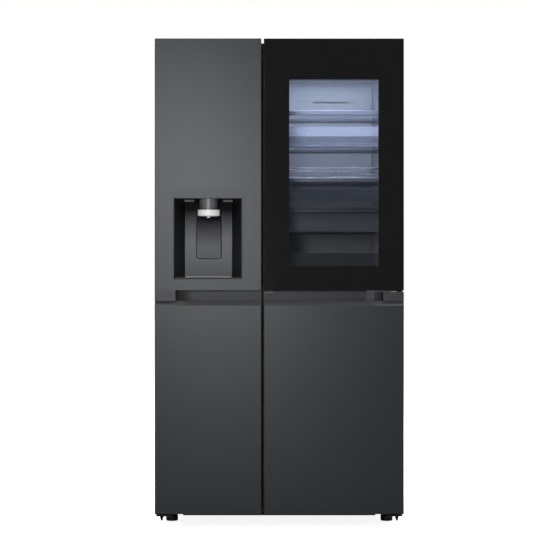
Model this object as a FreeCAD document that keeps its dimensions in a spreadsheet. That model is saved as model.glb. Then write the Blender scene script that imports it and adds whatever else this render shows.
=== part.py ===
"""Side by side refrigerator with an ice and water dispenser and an outer glass door in front of the
refrigerator door. Every length is in millimetres and comes from the spreadsheet named dims."""

import FreeCAD, Part
import math
import os
import re
import Sketcher
from FreeCAD import Rotation, Vector

SIZES = {
    # whole appliance and its steel case
    "overall_width": 913, "overall_depth": 735, "overall_height": 1790,
    "case_half": 455, "case_front": -252.5, "case_back": 357.5, "case_low": 40, "case_top": 1750,
    "steel": 0.8, "frame_steel": 1, "floor_steel": 1.5,
    # the two compartments
    "freezer_left": -410, "partition_left": -96, "partition_right": -26, "fridge_right": 410,
    "room_floor": 105, "room_ceiling": 1705, "room_back": 305, "step_front": 130, "step_top": 310,
    "liner_wall": 2, "ledge_width": 7, "ledge_height": 8,
    "machine_front": 163, "machine_top": 276,
    # doors
    "door_back": -264.5, "door_low": 47.5, "left_door_free": -65.4, "right_door_free": -56.6,
    "skin_radius": 2, "cap_height": 14.5, "top_cap_low": 1752, "top_cap_high": 1768,
    "lip_back": -352, "flange_back": -268,
    "hinge_offset": 22, "hinge_line": -290.5, "hinge_pin": 5, "running_gap": 0.1,
    "gasket_inset_hinge": 24, "gasket_inset_free": 8, "gasket_width": 16, "gasket_back": -253.9,
    "gasket_low": 82, "gasket_high": 1728,
    "dyke_back": -235, "dyke_low": 110, "dyke_high": 1695, "dyke_wall": 13, "dyke_gap": 7,
    # recessed grips
    "grip_low": 811, "grip_high": 868.8, "grip_high_right": 861, "grip_back": -320,
    "grip_recess": -333, "grip_pocket": 815, "grip_crest": 829, "crest_line": -357,
    "grip_flush": 76, "grip_ramp": 60, "grip_roof": 1, "wall_high": 865.8,
    # dispenser
    "recess_left": -386.8, "recess_right": -137, "recess_low": 909, "recess_high": 1204.5,
    "recess_back": -272, "panel_left": -350.5, "panel_right": -175.5, "housing_wall": 3,
    "bezel_left": -391, "bezel_right": -130, "bezel_low": 905, "bezel_high": 1240,
    "nozzle_centre": -260.5, "nozzle_line": -320, "nozzle_radius": 33.5, "nozzle_bore": 26,
    "nozzle_low": 1165, "collar_radius": 44, "ring_radius": 40, "ring_low": 1142,
    "pad_half": 45, "pad_low": 984, "pad_high": 1150, "pad_middle": -261.5, "pad_radius": 8,
    "pad_hinge": 1146, "chute_left": -292, "chute_right": -229,
    "tray_front_half": 121, "tray_back_half": 91, "tray_low": 909.5, "tray_high": 914.5,
    # outer glass door
    "outer_back": -329.5, "outer_low": 866.6, "outer_glass": 3, "inner_front": -321.5,
    "window_left": 36.6, "window_right": 363.9, "window_low": 956, "window_high": 1639.7,
    "outer_pin_inset": 14, "outer_pin_line": -341.5, "outer_pin": 3,
    "show_left": 0, "show_right": 390, "show_low": 925, "show_high": 1690,
    # shelves, drawers and bins
    "glass": 4, "freezer_shelf_front": -150, "fridge_shelf_front": -120, "shelf_back": 235,
    "fridge_shelf_back": 278, "shelf_gap": 2, "trim_depth": 8, "trim_below": 10, "trim_above": 8,
    "wall": 3, "bin_back": -168, "bin_radius": 25,
    # feet and rollers
    "foot_x": 404, "foot_y": -195, "foot_radius": 22.5, "stem_radius": 5,
    "roller_radius": 19, "roller_y": 300, "roller_half": 11, "axle_radius": 4,
    # machine room
    "fan_y": 262, "fan_z": 160, "fan_radius": 74, "shaft_radius": 3,
    "cold_fan_x": -255, "cold_fan_z": 780, "cold_fan_radius": 52,
}
FREEZER_SHELVES = (900, 1140, 1380)
FRIDGE_SHELVES = (575, 860, 1172, 1286, 1420, 1543)
FREEZER_BINS = (560, 670, 780)
DOOR_BASKETS = (640, 932, 1172, 1410)

FRONT = "-overall_depth / 2"
SKIN_BACK = FRONT + " + steel"
LEFT_PIN = "-overall_width / 2 + hinge_offset"
RIGHT_PIN = "overall_width / 2 - hinge_offset"
OUTER_PIN = "overall_width / 2 - outer_pin_inset"

doc = FreeCAD.newDocument("refrigerator")
sheet = doc.addObject("Spreadsheet::Sheet", "dims")
for row, (alias, size) in enumerate(SIZES.items(), start=1):
    sheet.set(f"A{row}", alias.replace("_", " "))
    sheet.set(f"B{row}", str(size))
    sheet.setAlias(f"B{row}", alias)
doc.recompute()
ALIAS = re.compile(r"\b(" + "|".join(SIZES) + r")\b")
nodes = []


def bind(item, prop, text):
    item.setExpression(prop, ALIAS.sub(r"dims.\1", str(text)))


def size_of(text):
    """The value of an expression that uses names from the spreadsheet."""
    return float(sheet.evalExpression(ALIAS.sub(r"dims.\1", str(text))))


def box(x, y, z):
    item = doc.addObject("Part::Box", "block")
    for prop, axis, (low, high) in (("Length", "x", x), ("Width", "y", y), ("Height", "z", z)):
        bind(item, prop, f"({high}) - ({low})")
        bind(item, f"Placement.Base.{axis}", low)
    return item


TURNS = {"x": Rotation(Vector(0, 1, 0), 90), "y": Rotation(Vector(1, 0, 0), -90), "z": Rotation()}


def rod(axis, radius, low, high, first, second):
    """A cylinder along one axis. first and second place it on the other two axes, in x, y, z order."""
    item = doc.addObject("Part::Cylinder", "rod")
    item.Placement.Rotation = TURNS[axis]
    bind(item, "Radius", radius)
    bind(item, "Height", f"({high}) - ({low})")
    places = dict(zip([a for a in "xyz" if a != axis], (first, second)))
    places[axis] = low
    for name, place in places.items():
        bind(item, f"Placement.Base.{name}", place)
    return item


def fuse(*parts):
    item = doc.addObject("Part::MultiFuse", "union")
    item.Shapes = list(parts)
    return item


def cut(base, *tools):
    item = doc.addObject("Part::Cut", "cut")
    item.Base = base
    item.Tool = tools[0] if len(tools) == 1 else fuse(*tools)
    return item


def common(first, second):
    item = doc.addObject("Part::MultiCommon", "overlap")
    item.Shapes = [first, second]
    return item


def group(*parts):
    item = doc.addObject("Part::Compound", "group")
    item.Links = list(parts)
    return item


def cone(low_radius, high_radius, low, high, x, y):
    """An upright cone whose narrow end is at the bottom."""
    item = doc.addObject("Part::Cone", "cone")
    for prop, size in (("Radius1", low_radius), ("Radius2", high_radius), ("Height", f"({high}) - ({low})"),
                       ("Placement.Base.x", x), ("Placement.Base.y", y), ("Placement.Base.z", low)):
        bind(item, prop, size)
    return item


def prism(plane, points, low, high):
    """A sketched outline on a plane through the origin, padded from low to high along the third axis."""
    body = doc.addObject("PartDesign::Body", "profile")
    sketch = body.newObject("Sketcher::SketchObject", "outline")
    base = [f for f in body.Origin.OriginFeatures if f.Role == plane + "_Plane"][0]
    sketch.AttachmentSupport = (base, [""])
    sketch.MapMode = "FlatFace"
    bind(sketch, "AttachmentOffset.Base.z", f"-({high})" if plane == "XZ" else low)
    spots = [(size_of(u), size_of(v)) for u, v in points]
    for i, spot in enumerate(spots):
        following = spots[(i + 1) % len(spots)]
        sketch.addGeometry(Part.LineSegment(Vector(*spot, 0), Vector(*following, 0)), False)
    for i in range(len(spots)):
        sketch.addConstraint(Sketcher.Constraint("Coincident", i, 2, (i + 1) % len(spots), 1))
    for i, (u, v) in enumerate(points):
        for kind, text, value in (("DistanceX", u, spots[i][0]), ("DistanceY", v, spots[i][1])):
            number = sketch.addConstraint(Sketcher.Constraint(kind, -1, 1, i, 1, value))
            bind(sketch, f"Constraints[{number}]", text)
    pad = body.newObject("PartDesign::Pad", "pad")
    pad.Profile = sketch
    bind(pad, "Length", f"({high}) - ({low})")
    return body


def frustum(front, back, x_front, x_back, z):
    """A block whose width changes evenly from its front face to its back face."""
    item = doc.addObject("Part::Wedge", "taper")
    ends = {"Ymin": front, "Ymax": back, "Xmin": x_front[0], "Xmax": x_front[1], "X2min": x_back[0],
            "X2max": x_back[1], "Zmin": z[0], "Zmax": z[1], "Z2min": z[0], "Z2max": z[1]}
    for prop, text in ends.items():
        bind(item, prop, text)
    return item


def rounded(item, radius, wanted):
    """Fillets the straight or round edges for which wanted(edge, box of the edge) is true."""
    doc.recompute()
    chosen = [i for i, e in enumerate(item.Shape.Edges, start=1) if wanted(e, e.BoundBox)]
    result = doc.addObject("Part::Fillet", "rounded")
    result.Base = item
    result.Edges = [(i, size_of(radius), size_of(radius)) for i in chosen]
    return result


def upright(edge, b):
    return b.XLength < 0.01 and b.YLength < 0.01


def tray(x, y, z, wall="wall"):
    """An open box: outer ranges and one wall thickness."""
    hollow = box((f"{x[0]} + {wall}", f"{x[1]} - {wall}"), (f"{y[0]} + {wall}", f"{y[1]} - {wall}"),
                 (f"{z[0]} + {wall}", f"{z[1]} + 1"))
    return cut(box(x, y, z), hollow)


def ring(x, y, z, width):
    """A flat rectangular frame lying in the door plane."""
    hole = box((f"{x[0]} + {width}", f"{x[1]} - {width}"), (f"{y[0]} - 1", f"{y[1]} + 1"),
               (f"{z[0]} + {width}", f"{z[1]} - {width}"))
    return cut(box(x, y, z), hole)


def node(name, item):
    item.Label = name
    nodes.append(item)
    return item


def mirrored(low, high):
    """An x range on the left and the same range on the right."""
    return ((f"-({high})", f"-({low})"), (low, high))


# ---------------------------------------------------------------- cabinet

def shell_panels():
    inside = ("-case_half + steel", "case_half - steel")
    depth = ("case_front", "case_back")
    height = ("case_low + floor_steel", "case_top")
    node("side_panel_left", box(("-case_half", "-case_half + steel"), depth, height))
    node("side_panel_right", box(("case_half - steel", "case_half"), depth, height))
    node("top_panel", box(inside, depth, ("case_top - steel", "case_top")))
    node("rear_panel", box(inside, ("case_back - steel", "case_back"), (270, "case_top - steel")))


def front_frame():
    plate = box(("-case_half", "case_half"), ("case_front - frame_steel", "case_front"),
                ("case_low", "case_top"))
    rooms = [box(x, ("case_front - 2", "case_front + 1"), ("room_floor", "room_ceiling"))
             for x in (("freezer_left", "partition_left"), ("partition_right", "fridge_right"))]
    node("front_frame", cut(plate, *rooms))


def room_shape(x, grow):
    """The space of one compartment, with the step over the machine room. grow thickens it outward."""
    x = (f"{x[0]} - {grow}", f"{x[1]} + {grow}")
    front = "case_front" if grow != "0" else "case_front - 1"
    ceiling = f"room_ceiling + {grow}"
    low = box(x, (front, f"step_front + {grow}"), (f"room_floor - {grow}", ceiling))
    high = box(x, ("step_front - 5", f"room_back + {grow}"), (f"step_top - {grow}", ceiling))
    return fuse(low, high)


def ledges(x, heights, front, back):
    """Moulded ledges on both side walls that carry the shelves."""
    made = []
    for z in heights:
        for low, high in ((x[0], f"{x[0]} + ledge_width"), (f"{x[1]} - ledge_width", x[1])):
            made.append(box((low, high), (front, back), (f"{z} - ledge_height", z)))
    return made


def liners():
    rooms = {"freezer_liner": (("freezer_left", "partition_left"), FREEZER_SHELVES,
                               "freezer_shelf_front", "shelf_back"),
             "fridge_liner": (("partition_right", "fridge_right"), FRIDGE_SHELVES,
                              "fridge_shelf_front", "fridge_shelf_back")}
    for name, (x, heights, front, back) in rooms.items():
        shell = cut(room_shape(x, "liner_wall"), room_shape(x, "0"))
        node(name, fuse(shell, *ledges(x, heights, front, back)))


def cabinet_foam():
    block = box(("-case_half + steel", "case_half - steel"), ("case_front", "case_back - steel"),
                ("case_low + floor_steel", "case_top - steel"))
    machine = box(("-case_half", "case_half"), ("machine_front", "case_back"), ("case_low", "machine_top"))
    stems = [rod("z", "stem_radius + 4", "case_low", 72, x, "foot_y") for x in ("-foot_x", "foot_x")]
    rooms = [room_shape(x, "liner_wall")
             for x in (("freezer_left", "partition_left"), ("partition_right", "fridge_right"))]
    node("cabinet_foam", cut(block, machine, *stems, *rooms))


def base_chassis():
    floor = box(("-case_half", "case_half"), ("case_front", "case_back"),
                ("case_low", "case_low + floor_steel"))
    top = "case_low + floor_steel"
    inside = ("-case_half + steel", "case_half - steel")
    wall = box(inside, ("machine_front", "machine_front + 1"), (top, "machine_top"))
    roof = box(inside, ("machine_front", "case_back - steel"), ("machine_top - 1", "machine_top"))
    beam = box((-360, 360), ("case_front + 20", "case_front + 45"), (24, "case_low"))
    shroud = cut(box((20, 23), (172, 350), (top, 262)),
                 rod("x", "fan_radius + 4", 10, 40, "fan_y", "fan_z"))
    motor = rod("x", 26, -24, 14, "fan_y", "fan_z")
    arms = [box((10, 23), (172, 350), ("fan_z - 5", "fan_z + 5")),
            box((10, 14), ("fan_y - 5", "fan_y + 5"), (top, 262))]
    shaft = rod("x", "shaft_radius", 10, 42, "fan_y", "fan_z")
    arms[0] = cut(arms[0], box((14, 24), ("fan_y - fan_radius - 2", "fan_y + fan_radius + 2"), (100, 220)))
    solid = [floor, wall, roof, beam, shroud, motor, shaft, *arms]
    holes = []
    for side in ("-", ""):
        solid.append(rod("z", 12, 27, "case_low", f"{side}foot_x", "foot_y"))
        holes.append(rod("z", "stem_radius + running_gap", 20, 50, f"{side}foot_x", "foot_y"))
        for edge in ("-roller_half - 3", "roller_half + 1"):
            ear = (f"{side}foot_x + ({edge})", f"{side}foot_x + ({edge}) + 2")
            solid.append(box(ear, ("roller_y - 20", "roller_y + 20"), (9, "case_low")))
        solid.append(rod("x", "axle_radius", f"{side}foot_x - roller_half - 5",
                         f"{side}foot_x + roller_half + 5", "roller_y", "roller_radius"))
    node("base_chassis", cut(fuse(*solid), *holes))


def top_cover():
    outer = rounded(box((-452, 452), (-250, -120), ("case_top", 1789.5)), "4",
                    lambda e, b: b.ZMin > 1789 or (upright(e, b) and b.YMax < -240))
    hollow = box((-449.5, 449.5), (-247.5, -122.5), ("case_top - 1", 1787))
    slots = [box(x, (-256, -232), ("case_top - 1", 1776)) for x in mirrored("412", "455")]
    slots += [box(x, (-256, -146), ("case_top - 1", 1753.5)) for x in mirrored("392", "455")]
    node("top_cover", cut(outer, hollow, *slots))


def electronics_cover():
    lid = rounded(box((-170, 170), ("case_back", "overall_depth / 2"), (1420, 1660)), "5",
                  lambda e, b: abs(e.CenterOfMass.y - 367.5) < 0.01 or b.YLength > 9)
    hollow = box((-167.5, 167.5), ("case_back - 1", "overall_depth / 2 - 2.5"), (1422.5, 1657.5))
    slots = [box((-120, 120), (360, 370), (z, z + 4)) for z in range(1450, 1530, 12)]
    node("electronics_cover", cut(lid, hollow, *slots))


def hinges():
    upper, lower = [], []
    for side, (plate, arm, pin_x) in {
        "left": ((-454, -396), (-453, -416), LEFT_PIN), "right": ((396, 454), (416, 453), RIGHT_PIN)
    }.items():
        arm = (min(arm), max(arm))
        upper.append(fuse(box(plate, (-246, -150), ("case_top", "case_top + 3")),
                          box(arm, (-250, -246), ("case_top", 1774.5)),
                          box(arm, ("hinge_line", -246), (1770.5, 1774.5)),
                          rod("z", 18.5, 1770.5, 1774.5, pin_x, "hinge_line"),
                          rod("z", "hinge_pin", 1754, 1772, pin_x, "hinge_line")))
        rear, front = [((a, b) if side == "right" else (-b, -a)) for a, b in ((420, 454), (392, 454))]
        bracket = rounded(box(front, (-346, -240), (36, "case_low")), "10",
                          lambda e, b: upright(e, b) and b.YMax < -340)
        lower.append(fuse(bracket, box(rear, (-250, -170), (36, "case_low")),
                          rod("z", 9, 40, 46.9, pin_x, "hinge_line"),
                          rod("z", "hinge_pin", 38, 60, pin_x, "hinge_line"),
                          cone(3, 12, 3, 37, "441" if side == "right" else "-441", -222)))
    node("upper_hinges", group(*upper))
    node("lower_hinges", group(*lower))


def feet_and_rollers():
    for name, side in (("left", "-"), ("right", "")):
        x = f"{side}foot_x"
        disc = rounded(rod("z", "foot_radius", 0, 22, x, "foot_y"), "3", lambda e, b: b.ZLength < 0.01)
        nut = rod("z", 9.5, 20, 26, x, "foot_y")
        node(f"levelling_foot_{name}", fuse(disc, nut, rod("z", "stem_radius", 20, 62, x, "foot_y")))
        wheel = rounded(rod("x", "roller_radius", f"{x} - roller_half", f"{x} + roller_half",
                            "roller_y", "roller_radius"), "2", lambda e, b: b.XLength < 0.01)
        bore = rod("x", "axle_radius + running_gap", f"{x} - 20", f"{x} + 20", "roller_y", "roller_radius")
        node(f"rear_roller_{name}", cut(wheel, bore))


# ---------------------------------------------------------------- refrigeration

def compressor():
    pot = rounded(rod("z", 80, 60, 205, 255, 262), "36", lambda e, b: b.ZLength < 0.01)
    feet = [rod("z", 10, "case_low + floor_steel", 56, x, y) for x in (180, 330) for y in (200, 324)]
    pipes = [rod("z", 5, 180, 250, 255, 262), rod("x", 4, 255, 372, 300, 120), rod("z", 4, 120, 240, 370, 300)]
    plate = box((165, 345), (185, 339), (53, 57))
    node("compressor", fuse(pot, plate, box((328, 352), (235, 290), (110, 175)),
                            box((230, 280), (215, 309), (56, 75)), *feet, *pipes))


def finned_coil(name, x, rows_y, rows_z, radius, fins, fin_y, fin_z):
    """Tubes along the width, joined by U bends at both ends, through a stack of thin fins."""
    parts = [rod("x", radius, x[0], x[1], y, z) for y in rows_y for z in rows_z]
    step = (x[1] - x[0] - 20) / (fins - 1)
    for i in range(fins):
        place = x[0] + 10 + i * step
        parts.append(box((place - 0.5, place + 0.5), fin_y, fin_z))
    for j, y in enumerate(rows_y):
        for i in range(len(rows_z) - 1):
            end = x[1] if (i + j) % 2 else x[0]
            parts.append(rod("z", radius, rows_z[i], rows_z[i + 1], end, y))
    for end, z in ((x[0], rows_z[0]), (x[1], rows_z[-1])):
        parts.append(rod("y", radius, rows_y[0], rows_y[-1], end, z))
    node(name, fuse(*parts))


def fan(name, axis, radius, hub, low, high, first, second):
    """Pitched blades on a hub that runs on a motor shaft."""
    boss = rod(axis, hub, low, high, first, second)
    hole = rod(axis, "shaft_radius + running_gap", f"{low} - 1", f"{high} - 6", first, second)
    middle = (size_of(low) + size_of(high)) / 2
    places = [size_of(first), size_of(second)]
    places.insert("xyz".index(axis), middle)
    spin = Vector(*[1.0 if a == axis else 0.0 for a in "xyz"])
    blades = []
    for i in range(6):
        blade = doc.addObject("Part::Box", "blade")
        blade.Length, blade.Width, blade.Height = 22, 1.6, 1
        bind(blade, "Height", f"{radius} - {hub} + 4")
        turn = Rotation(spin, 60 * i)
        lie = Rotation() if axis == "x" else Rotation(Vector(0, 0, 1), 90)
        pitch = Rotation(Vector(0, 0, 1), 32)
        rotation = turn.multiply(lie).multiply(pitch)
        start = Vector(-11, -0.8, size_of(hub) - 4)
        blade.Placement = FreeCAD.Placement(Vector(*places) + rotation.multVec(start), rotation)
        blades.append(blade)
    node(name, cut(fuse(boss, *blades), hole))


def machine_room():
    compressor()
    finned_coil("condenser", (-400, -60), (205, 260, 315), (95, 135, 175, 215), 4, 18, (185, 335), (78, 232))
    fan("condenser_fan", "x", "fan_radius", "22", "26", "50", "fan_y", "fan_z")
    node("evaporating_pan", tray((-410, -50), (172, 348), ("case_low + floor_steel", 68), "2"))
    slots = [box((x, x + 150), (350, 360), (z, z + 7))
             for x in (-400, -210, 90, 270) for z in range(80, 240, 22)]
    cover = box(("-case_half + steel", "case_half - steel"), ("case_back - steel", "case_back"),
                ("case_low + floor_steel", 270))
    inlet = rod("y", 13.2, "case_back - steel", "overall_depth / 2", 30, 225)
    gland = rod("y", 10, "case_back - steel", "case_back + 7", 30, 90)
    holes = [rod("y", 8, 350, 370, 30, 225), rod("y", 4.5, 350, 370, 30, 90)]
    node("compressor_cover", cut(fuse(cover, inlet, gland), *slots, *holes))


def cold_air():
    finned_coil("evaporator", (-385, -125), (266, 290), (370, 430, 490, 550, 610), 4, 14, (256, 300),
                (350, 630))
    fan("evaporator_fan", "y", "cold_fan_radius", "16", "262", "284", "cold_fan_x", "cold_fan_z")
    plate = box(("freezer_left", "partition_left"), (242, 245), ("step_top", 1700))
    motor = rod("y", 22, 243, 258, "cold_fan_x", "cold_fan_z")
    shaft = rod("y", "shaft_radius", 250, 276, "cold_fan_x", "cold_fan_z")
    slots = [box((-320, -190), (235, 250), (z, z + 6)) for z in (722, 738, 816, 832)]
    slots += [box((-370, -140), (235, 250), (z, z + 8))
              for z in (340, 356, 1040, 1056, 1290, 1306, 1560, 1576)]
    node("freezer_duct", cut(fuse(plate, motor, shaft), *slots))
    tower = rounded(box((4, 380), (282, "room_back"), (420, 1690)), "8",
                    lambda e, b: upright(e, b) and b.YMax < 283)
    hollow = box((7, 377), (285, "room_back + 1"), (423, 1687))
    vents = [box((140, 285), (275, 290), (z, z + 8)) for z in (480, 700, 960, 1220, 1350, 1480, 1620)]
    node("fridge_duct", cut(tower, hollow, *vents))


# ---------------------------------------------------------------- inside the compartments

def shelves():
    panes, trims = [], []
    stacks = ((FREEZER_SHELVES, ("freezer_left", "partition_left"), "freezer_shelf_front", "shelf_back"),
              (FRIDGE_SHELVES, ("partition_right", "fridge_right"), "fridge_shelf_front", "fridge_shelf_back"))
    for heights, room, front, back in stacks:
        x = (f"{room[0]} + shelf_gap", f"{room[1]} - shelf_gap")
        for z in heights:
            panes.append(box(x, (front, back), (z, f"{z} + glass")))
            bar = box(x, (f"{front} - trim_depth", front), (f"{z} - trim_below", f"{z} + trim_above"))
            trims.append(rounded(bar, "3", lambda e, b, y=front: b.XLength > 100
                                 and e.CenterOfMass.y < size_of(y) - 7))
            trims.append(box(x, (back, f"{back} + 3"), (z, f"{z} + 14")))
    node("shelf_glass", group(*panes))
    node("shelf_trims", group(*trims))


def wine_rack():
    parts = [rod("x", 2.5, -10, 394, y, 1332) for y in (-108, 5, 118)]
    parts += [rod("y", 2, -110, 120, x, 1328.5) for x in range(8, 390, 28)]
    parts += [rod("z", 2.5, 1290, 1332, x, y) for x in (-8, 392) for y in (-108, 118)]
    parts += [rod("x", 2, -8, 392, y, 1296) for y in (-108, 118)]
    node("wine_rack", fuse(*parts))


def pull_tray(name, x, y, z, front_wall):
    """A drawer: an open tray with a thicker front that carries a moulded finger lip."""
    tub = tray(x, (f"{y[0]} + {front_wall}", y[1]), z)
    face = rounded(box(x, (y[0], f"{y[0]} + {front_wall}"), z), "3",
                   lambda e, b: abs(e.CenterOfMass.y - y[0]) < 0.01)
    lip = box((f"{x[0]} + 60", f"{x[1]} - 60"), (f"{y[0]} + {front_wall} - 1", f"{y[0]} + {front_wall} + 12"),
              (f"{z[1]} - 6", f"{z[1]} - 2"))
    node(name, fuse(tub, face, lip))


def drawers():
    pull_tray("freezer_drawer_upper", (-386, -120), (-130, 225), (345, 540), 6)
    pull_tray("freezer_drawer_lower", (-386, -120), (-130, 122), (130, 330), 6)
    pull_tray("crisper_drawer_upper", (8, 378), (-118, 270), (348, 560), 6)
    pull_tray("crisper_drawer_lower", (8, 378), (-118, 122), (130, 334), 6)
    pull_tray("chiller_drawer", (8, 378), (-118, 240), (1088, 1160), 5)


def fixed_fittings():
    lamps = [box((40, 340), (-200, -150), (1699, "room_ceiling")),
             box((-330, -180), (-20, 20), (1699, "room_ceiling"))]
    node("interior_lamps", group(*lamps))
    head = rounded(box((-395, -345), (-222, -70), (1600, "room_ceiling")), "6",
                   lambda e, b: upright(e, b) or b.ZMax < 1601)
    mould = cut(box((-346, -130), (-205, -95), (1612, 1652)),
                *[rod("x", 30, x, x + 24, -150, 1655) for x in range(-340, -140, 29)])
    roof = box((-346, -130), (-205, -95), (1696, "room_ceiling"))
    end = box((-136, -130), (-205, -95), (1612, "room_ceiling"))
    node("ice_maker", fuse(head, mould, roof, end))


# ---------------------------------------------------------------- doors in general

def skin(x, z, flange_high=None):
    """A folded steel front: the face and two side flanges, with softly rounded outer corners."""
    outer = rounded(box(x, (FRONT, "flange_back"), z), "skin_radius",
                    lambda e, b: upright(e, b) and b.YMax < -300)
    hollow = box((f"{x[0]} + steel", f"{x[1]} - steel"), (SKIN_BACK, "flange_back + 1"),
                 (f"{z[0]} - 1", f"{z[1]} + 1"))
    tools = [hollow]
    if flange_high:
        tools.append(box((f"{x[0]} - 1", f"{x[1]} + 1"), (SKIN_BACK, "flange_back + 1"),
                         (flange_high, f"{z[1]} + 1")))
    return cut(outer, *tools)


def end_caps(x, pin_x, front):
    """Moulded bottom and top caps with the bores for the hinge pins."""
    low = box(x, (SKIN_BACK, "door_back"), ("door_low", "door_low + cap_height"))
    high = box(x, (front, "door_back"), ("top_cap_low", "top_cap_high"))
    bore = "hinge_pin + running_gap"
    low = cut(low, rod("z", bore, "door_low - 1", "door_low + cap_height + 1", pin_x, "hinge_line"))
    high = cut(high, rod("z", bore, "top_cap_low - 1", "top_cap_high + 1", pin_x, "hinge_line"))
    return low, high


def door_gasket(x):
    return ring(x, ("door_back", "gasket_back"), ("gasket_low", "gasket_high"), "gasket_width")


def grip(x, z_high, flush, ramp_end, free, roof):
    """A grip channel: flush near the hinge side, then a hollow ramp into the finger recess, over a sloping lip."""
    block = box(x, (FRONT, "grip_back"), ("grip_low", z_high))
    curve = []
    for angle in range(0, 91, 15):
        along, deep = 1 - math.cos(math.radians(angle)), math.sin(math.radians(angle))
        curve.append((f"{flush} + ({ramp_end} - ({flush})) * {along:.4f}",
                      f"{FRONT} + (grip_recess - ({FRONT})) * {deep:.4f}"))
    plan = prism("XY", ((flush, FRONT + " - 1"), *curve, (free, "grip_recess"), (free, FRONT + " - 1")),
                 "grip_low", f"{z_high} + 1")
    slope = (FRONT + " - 1", "grip_low - 1.2")
    side = prism("YZ", (slope, ("crest_line", "grip_crest"), ("crest_line + 3", "grip_crest"),
                        ("crest_line + 6", "grip_pocket"), ("grip_recess", "grip_pocket"),
                        ("grip_recess", f"{z_high} - ({roof})"), (FRONT + " - 1", f"{z_high} - ({roof})")),
                 f"{x[0]} - 1", f"{x[1]} + 1")
    lip = prism("YZ", (slope, ("crest_line", "grip_crest"), (FRONT + " - 1", "grip_crest")),
                f"{x[0]} - 2", f"{x[1]} + 2")
    return cut(block, common(plan, side), lip)


def shelf_bin(x, low, high, front, lip):
    """A door bin with rounded back corners and a lower wall on the side it is filled from."""
    outer = rounded(box(x, (front, "bin_back"), (low, high)), "bin_radius",
                    lambda e, b: upright(e, b) and b.YMax > -200)
    hollow = rounded(box((f"{x[0]} + wall", f"{x[1]} - wall"), (f"{front} + wall", "bin_back - wall"),
                         (f"{low} + wall", f"{high} + 1")), "bin_radius - wall",
                     lambda e, b: upright(e, b) and b.YMax > -200)
    step = box((f"{x[0]} - 1", f"{x[1]} + 1"), (f"{front} - 1", f"{front} + 30"),
               (f"{low} + {lip}", f"{high} + 1"))
    return cut(outer, hollow, step)


# ---------------------------------------------------------------- freezer door

LEFT_SKIN = ("-overall_width / 2", "left_door_free")
LEFT_CORE = ("-overall_width / 2 + steel", "left_door_free - steel")
CHUTE_OUT = ((-349.5, 1206), (-290.5, 1206), (-290.5, 1227), ("door_back", 1260.6), ("door_back", 1324.5),
             (-291, 1324.5), (-349.5, 1276))
CHUTE_IN = ((-347, 1204), (-293, 1204), (-293, 1228), (-262, 1268), (-262, 1322), (-290, 1322), (-347, 1275))


def housing_outside():
    """The outer faces of the dispenser moulding, also used to clear the foam around it."""
    shell = frustum(SKIN_BACK, "recess_back + housing_wall",
                    ("recess_left - housing_wall", "recess_right + housing_wall"),
                    ("panel_left - housing_wall", "panel_right + housing_wall"),
                    ("recess_low - housing_wall", "recess_high + housing_wall"))
    pocket = box(("pad_middle - pad_half - 6", "pad_middle + pad_half + 6"), ("recess_back", -253),
                 ("pad_low - 9", "pad_high + 9"))
    chute = prism("YZ", CHUTE_OUT, "chute_left - 2.5", "chute_right + 2.5")
    bezel = box(("bezel_left + 0.2", "bezel_right - 0.2"), (SKIN_BACK, FRONT + " + 4"),
                ("bezel_low + 0.2", "bezel_high - 0.2"))
    return shell, pocket, chute, bezel


def dispenser_housing():
    face = box(("bezel_left + 0.2", "bezel_right - 0.2"), (FRONT + " + 0.2", SKIN_BACK),
               ("bezel_low + 0.2", "bezel_high - 0.2"))
    recess = frustum(FRONT + " - 1", "recess_back", ("recess_left", "recess_right"),
                     ("panel_left", "panel_right"), ("recess_low", "recess_high"))
    pocket = box(("pad_middle - pad_half - 3", "pad_middle + pad_half + 3"), ("recess_back - 1", -255.5),
                 ("pad_low - 6", "pad_high + 6"))
    chute = prism("YZ", CHUTE_IN, "chute_left", "chute_right")
    node("dispenser_housing", cut(fuse(*housing_outside(), face), recess, pocket, chute))


def dispenser_front():
    window = rounded(box(("pad_middle - pad_half - 3", "pad_middle + pad_half + 3"), (-280, -270),
                         ("pad_low - 3", "pad_high + 3")), "pad_radius + 3", lambda e, b: b.YLength > 9)
    plate = box(("panel_left", "panel_right"), ("recess_back - 3", "recess_back"),
                ("recess_low + 6", "recess_high"))
    node("dispenser_back_panel", cut(plate, window))
    pad = rounded(box(("pad_middle - pad_half", "pad_middle + pad_half"), (-279, -274),
                      ("pad_low", "pad_high")), "pad_radius", lambda e, b: b.YLength > 4.9)
    node("dispenser_pad", rounded(pad, "1.2", lambda e, b: abs(e.CenterOfMass.y + 279) < 0.01))
    place = ("nozzle_centre", "nozzle_line")
    body = fuse(rod("z", "nozzle_radius", "nozzle_low", "recess_high", *place),
                rod("z", "collar_radius", "ring_low + 21", "nozzle_low + 0.5", *place))
    spout = fuse(rod("z", 6, 1134, "recess_high", "nozzle_centre", "nozzle_line - 16"),
                 box(("nozzle_centre - 2", "nozzle_centre + 2"), ("nozzle_line - 28", "nozzle_line - 16"),
                     ("nozzle_low", "recess_high")))
    node("dispenser_nozzle", fuse(cut(body, rod("z", "nozzle_bore", 1150, 1210, *place)), spout))
    band = rounded(rod("z", "ring_radius", "ring_low", "ring_low + 21", *place), "2",
                   lambda e, b: b.ZMax < 1143)
    node("dispenser_ring", cut(band, rod("z", "nozzle_bore + 1", 1130, 1170, *place)))


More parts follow.
